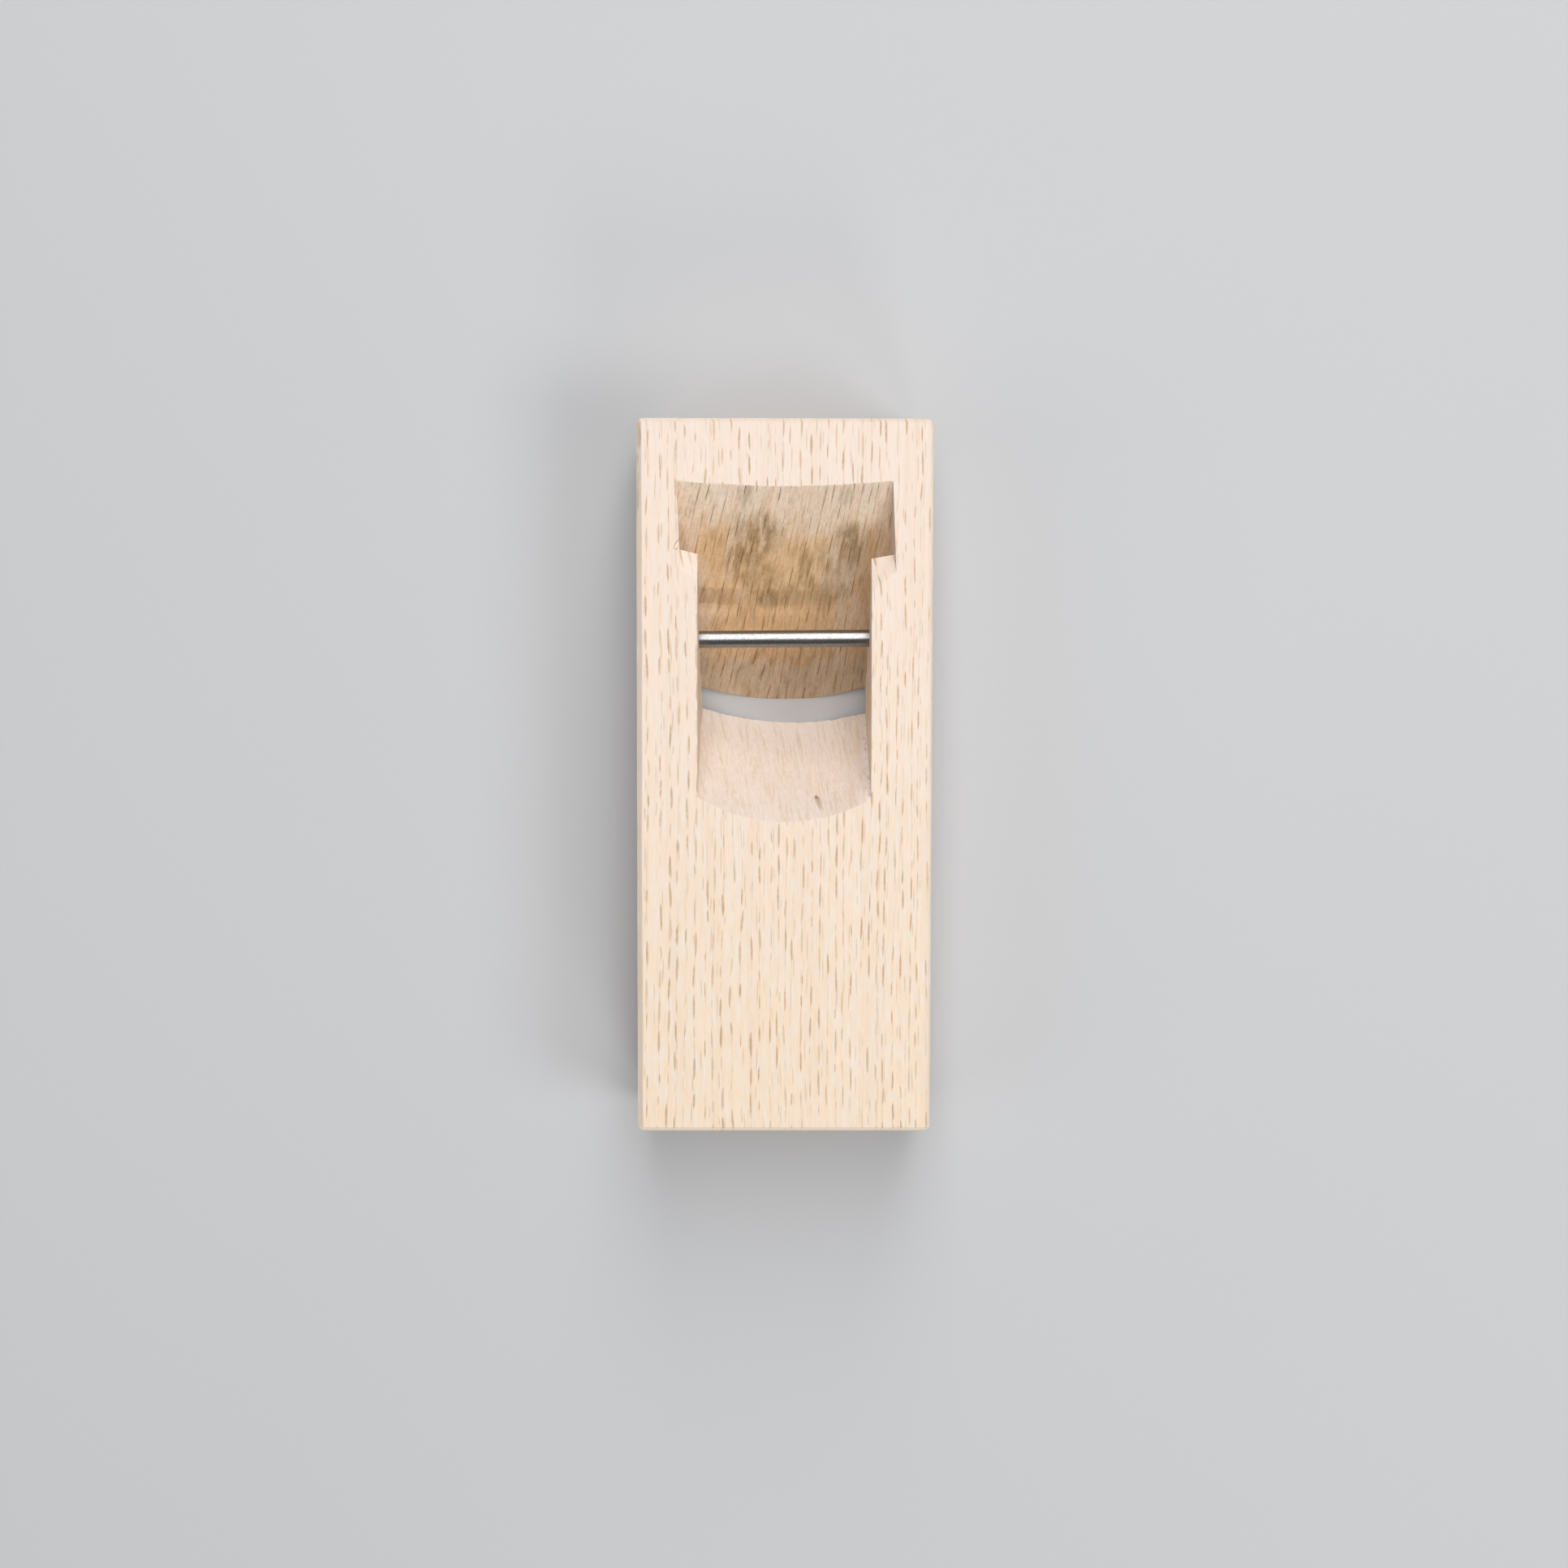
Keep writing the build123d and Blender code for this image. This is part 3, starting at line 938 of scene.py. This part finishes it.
def fibreTree():
    # short tapered fibres stand on a path: each has its own length, thickness and lean
    tree = bpy.data.node_groups.new("tornFibres", "GeometryNodeTree")
    inputs = {"Path": "Geometry", "Count": "Int", "Length": "Float", "Thickness": "Float", "Seed": "Int",
              "Finish": "Material"}
    for label, kind in inputs.items():
        tree.interface.new_socket(label, in_out="INPUT", socket_type="NodeSocket" + kind)
    tree.interface.new_socket("Fibres", in_out="OUTPUT", socket_type="NodeSocketGeometry")
    given = put(tree, "NodeGroupInput").outputs

    def chance(lowest, highest):
        links = {0: lowest, 1: highest, "Seed": given["Seed"]}
        return put(tree, "FunctionNodeRandomValue", links, data_type="FLOAT_VECTOR").outputs[0]

    line = put(tree, "GeometryNodeMeshToCurve", {"Mesh": given["Path"]}).outputs[0]
    links = {"Curve": line, "Count": given["Count"]}
    points = put(tree, "GeometryNodeResampleCurve", links, mode="COUNT").outputs[0]
    shape = {"Vertices": 6, "Side Segments": 2, "Radius Top": 0.3, "Radius Bottom": 1.0, "Depth": 1.0}
    cone = put(tree, "GeometryNodeMeshCone", shape, fill_type="NGON").outputs["Mesh"]
    turn = chance(*tear["lean"])
    size = joined(given["Thickness"], given["Thickness"], given["Length"])
    links = {0: size, 1: chance(*tear["size"])}
    size = put(tree, "ShaderNodeVectorMath", links, operation="MULTIPLY").outputs[0]
    links = {"Points": points, "Instance": cone, "Rotation": turn, "Scale": size}
    stood = put(tree, "GeometryNodeInstanceOnPoints", links).outputs[0]
    plain = put(tree, "GeometryNodeRealizeInstances", {0: stood}).outputs[0]
    links = {"Geometry": plain, "Material": given["Finish"]}
    put(tree, "NodeGroupOutput", {0: put(tree, "GeometryNodeSetMaterial", links).outputs[0]})
    return tree


def addTornFibres(obj):
    # the chisel left short fibres along the gullet's lip at the mouth
    bm = bmesh.new()
    verts = []
    for i in range(tear["steps"] + 1):
        x = between(tear["from"], tear["to"], i / tear["steps"])
        z = soleHeight(x) + tear["height"] + wave((x, 2.0, 6.0), *tear["wave"])
        verts.append(bm.verts.new((x, gulletFront(x, z) - tear["sunk"], z)))
    for a, b in zip(verts, verts[1:]):
        bm.edges.new((a, b))
    fibres = newObject("torn fibres", bm)
    mod = fibres.modifiers.new("torn fibres", "NODES")
    mod.node_group = fibreTree()
    values = {"Count": tear["count"], "Length": tear["length"], "Thickness": tear["thickness"],
              "Seed": tear["seed"], "Finish": bodyFinishes[gullet]}
    for item in mod.node_group.interface.items_tree:
        if item.name in values:
            mod[item.identifier] = values[item.name]
    applyModifiers(fibres)
    fibres.data.materials.clear()  # they join the body and take its gullet finish
    for face in fibres.data.polygons:
        face.material_index = gullet
    combine(obj, fibres, "UNION", "MANIFOLD")


chip = {
    "notch": [(-22.2, 45.62), (-21.3, 45.42), (-20.4, 45.8), (-20.4, 47.8), (-21.0, 47.85),
              (-21.75, 46.75)],
    "flake": [(-22.02, 45.85), (-21.55, 45.66), (-21.08, 46.4), (-21.14, 47.3), (-21.62, 46.72)],
    "shallow": 0.25, "deep": 0.75, "flakeDrop": 0.04, "flakeLean": 0.28, "flakeRoot": 1.5, "over": 1.0,
}


def prism(name, outline, low, high, finish):
    # upright walls on an outline, between two heights that depend on x
    bm = bmesh.new()
    joinRings(bm, [[bm.verts.new((x, y, height(x))) for x, y in outline] for height in (low, high)])
    bmesh.ops.triangulate(bm, faces=[f for f in bm.faces if len(f.verts) > 4])
    faceOutward(bm)
    return newObject(name, bm, finish)


def tearChip(obj):
    # a flake has torn loose on the edge of the left wall and stands in its notch
    left = chip["notch"][0][0]

    def notchFloor(x):
        return top - chip["shallow"] - (chip["deep"] - chip["shallow"]) * min(1.0, x - left)

    def flakeTop(x):
        return top - chip["flakeDrop"] - chip["flakeLean"] * (x - left)

    notch = prism("notch", chip["notch"], notchFloor, lambda x: top + chip["over"], gullet)
    combine(obj, notch, "DIFFERENCE")
    flake = prism("flake", chip["flake"], lambda x: top - chip["flakeRoot"], flakeTop, planed)
    combine(obj, flake, "UNION", "MANIFOLD")


nick = {
    "from": -17.95, "to": -16.9, "y": -3.42, "width": 0.16, "depth": 0.4, "over": 1.0,
    "slimEnd": 0.4, "shallowEnd": 0.15,  # shares of width and depth where it runs out
}


def cutNick(obj):
    # the saw overran the gullet's left corner
    def place(u, v, w):
        floor = top - nick["depth"] * between(nick["shallowEnd"], 1.0, u)
        y = nick["y"] + (v - 0.5) * nick["width"] * between(nick["slimEnd"], 1.0, u)
        return (between(nick["from"], nick["to"], u), y, between(floor, top + nick["over"], w))

    combine(obj, gridSolid("nick", (4, 1, 1), place, (wall, wall, wall)), "DIFFERENCE")


softEdge = {
    "width": 0.12, "segments": 3, "bend": 14.0, "atGullet": 0.4, "atCorners": 0.2, "short": 0.6,
    "mouthRim": 0.3, "mouthReach": 12.0, "merge": 0.004,
}


def softness(edge):
    # the outer arrises and the rims of the mortise are softened, not the inner corners
    if len(edge.link_faces) != 2 or not edge.is_convex:
        return 0.0
    height = max(v.co.z - soleHeight(v.co.x) for v in edge.verts)
    if height < softEdge["mouthRim"] and abs(edge.verts[0].co.y - bedFoot) < softEdge["mouthReach"]:
        return 0.0  # the rim of the mouth stays crisp
    a, b = edge.link_faces
    finishes = (a.material_index, b.material_index)
    if a.normal.angle(b.normal) <= math.radians(softEdge["bend"]) or finishes[0] == finishes[1] != planed:
        return 0.0
    return softEdge["atGullet"] if gullet in finishes else 1.0


def softenEdges(obj):
    bm = bmesh.new()
    bm.from_mesh(obj.data)
    bmesh.ops.remove_doubles(bm, verts=bm.verts, dist=softEdge["merge"])
    bmesh.ops.dissolve_degenerate(bm, edges=bm.edges, dist=softEdge["merge"])
    weight = bm.edges.layers.float.new("bevel_weight_edge")
    for edge in bm.edges:
        edge[weight] = softness(edge)
    # at the block's corners short arrises crowd together, so they are softened less
    near = halfLength - 2 * body["cornerChamfer"]
    short = [e for e in bm.edges if e[weight] > 0 and e.calc_length() < softEdge["short"]]
    for vert in {v for e in short for v in e.verts if abs(v.co.y) > near}:
        for edge in vert.link_edges:
            edge[weight] = min(edge[weight], softEdge["atCorners"])
    bm.to_mesh(obj.data)
    bm.free()
    mod = obj.modifiers.new("soft edges", "BEVEL")
    mod.limit_method = "WEIGHT"
    mod.width = softEdge["width"]
    mod.segments = softEdge["segments"]
    mod.use_clamp_overlap = False
    applyModifiers(obj)
    for vert in obj.data.vertices:
        vert.co.z = min(vert.co.z, top)


def finishMesh(obj):
    # millimetres to metres, smooth faces whose large flats keep their own normals
    obj.data.transform(Matrix.Scale(toMetres, 4))
    obj.data.shade_smooth()
    obj.data.set_sharp_from_angle(angle=math.radians(body["sharpAngle"]))
    mod = obj.modifiers.new("flat faces stay flat", "WEIGHTED_NORMAL")
    mod.keep_sharp = True
    applyModifiers(obj)


def buildBody():
    obj = buildBlock()
    for material in bodyFinishes:
        obj.data.materials.append(material)
    mortise = gridSolid("bed side", body["bedSteps"], bedPoint, (planed, bed, wall))
    throat = gridSolid("throat", body["throatSteps"], throatPoint, (gullet, planed, wall))
    combine(throat, gridSolid("seat", (1, 1, 1), seatPoint, (wall, planed, wall)), "UNION")
    combine(mortise, throat, "INTERSECT")
    combine(obj, mortise, "DIFFERENCE")
    cutFacet(obj, -1, *body["leftFacet"])
    cutFacet(obj, 1, *body["rightFacet"])
    cutBore(obj)
    print("body cut:", len(obj.data.polygons), "faces")
    softenEdges(obj)
    cutNick(obj)
    tearChip(obj)
    addTornFibres(obj)
    finishMesh(obj)
    return obj


woodBody = buildBody()
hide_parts("plane_body")
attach(woodBody, "body")
print("body made:", len(woodBody.data.polygons), "faces")

steelPin = buildPin()
finishMesh(steelPin)
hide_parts("retaining_pin")
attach(steelPin, "pin")
print("pin made:", len(steelPin.data.polygons), "faces")


# stage: a pale floor, a large soft light over the head end's right and weaker ones round it, in metres

stage = {
    "floorSize": 8.0, "floorColour": (0.54, 0.545, 0.555), "floorNear": 0.3, "floorFar": 0.95,
    "floorShade": 0.96, "horizon": (0.60, 0.60, 0.61), "sky": (0.16, 0.165, 0.175),
    "skyFrom": (0.08, 0.42),
    "cameraPlace": (-0.00405, 0.03388, 0.51772), "cameraTurn": (-4.124, -0.462, 0.105),
    "lens": 55.9, "sensor": 36.0,
    "lights": [  # name, where it comes from, distance, size, power, whether the steel shows it
        ("key light", (0.06, 0.70, 1.0), 1.3, (0.62, 1.85), 16.8, True),
        ("side light", (0.75, -0.30, 1.0), 1.1, (0.42, 0.42), 3.2, True),
        ("tail light", (0.33, -1.0, 0.68), 1.3, (0.34, 0.34), 2.6, False),
        ("fill light", (-1.0, -0.25, 0.85), 1.1, (0.6, 0.6), 1.4, True),
    ],
}


def buildFloor():
    bm = bmesh.new()
    bmesh.ops.create_grid(bm, x_segments=1, y_segments=1, size=stage["floorSize"] / 2)
    floor = newObject("floor", bm)
    material, tree, shader = newMaterial("floor_paper", {"Roughness": 0.85})
    spot = put(tree, "ShaderNodeTexCoord").outputs["Object"]
    darker = [stage["floorShade"] * c for c in stage["floorColour"]]
    feed(shader, {"Base Color": blend(cloud(spot, 3.0, 3.0), stage["floorColour"], darker)})
    # far off the floor runs into the pale background
    reach = put(tree, "ShaderNodeVectorMath", {0: spot}, operation="LENGTH").outputs["Value"]
    rays = put(tree, "ShaderNodeLightPath").outputs
    seen = largest(rays["Is Camera Ray"], rays["Is Glossy Ray"], rays["Is Transmission Ray"])
    share = times(seen, remap(reach, stage["floorNear"], stage["floorFar"]))
    haze = put(tree, "ShaderNodeEmission", {"Color": stage["horizon"]}).outputs[0]
    mixed = put(tree, "ShaderNodeMixShader", {0: share, 1: shader.outputs[0], 2: haze}).outputs[0]
    feed(tree.nodes["Material Output"], {"Surface": mixed})
    floor.data.materials.append(material)


def buildWorld():
    # pale near the horizon like the walls of a studio, dim overhead
    world = bpy.data.worlds.new("studio")
    world.use_nodes = True
    scene.world = world
    tree = world.node_tree
    x, y, up = axesOf(put(tree, "ShaderNodeTexCoord").outputs["Generated"])
    colour = blend(remap(up, *stage["skyFrom"]), stage["horizon"], stage["sky"])
    feed(tree.nodes["Background"], {"Color": colour})


def addLight(name, direction, distance, size, power, glints):
    light = bpy.data.lights.new(name, "AREA")
    light.shape = "RECTANGLE"
    light.size, light.size_y = size
    light.energy = power
    lamp = bpy.data.objects.new(name, light)
    away = Vector(direction).normalized()
    lamp.location = away * distance
    lamp.rotation_euler = away.to_track_quat("Z", "Y").to_euler()
    lamp.visible_camera = False
    lamp.visible_glossy = glints
    scene.collection.objects.link(lamp)


def addCamera():
    data = bpy.data.cameras.new("camera")
    data.lens = stage["lens"]
    data.sensor_width = stage["sensor"]
    data.clip_start = 0.01
    camera = bpy.data.objects.new("camera", data)
    camera.location = stage["cameraPlace"]
    camera.rotation_euler = Euler([math.radians(a) for a in stage["cameraTurn"]], "XYZ")
    scene.collection.objects.link(camera)
    scene.camera = camera


buildFloor()
buildWorld()
for lightValues in stage["lights"]:
    addLight(*lightValues)
addCamera()
print("stage set")
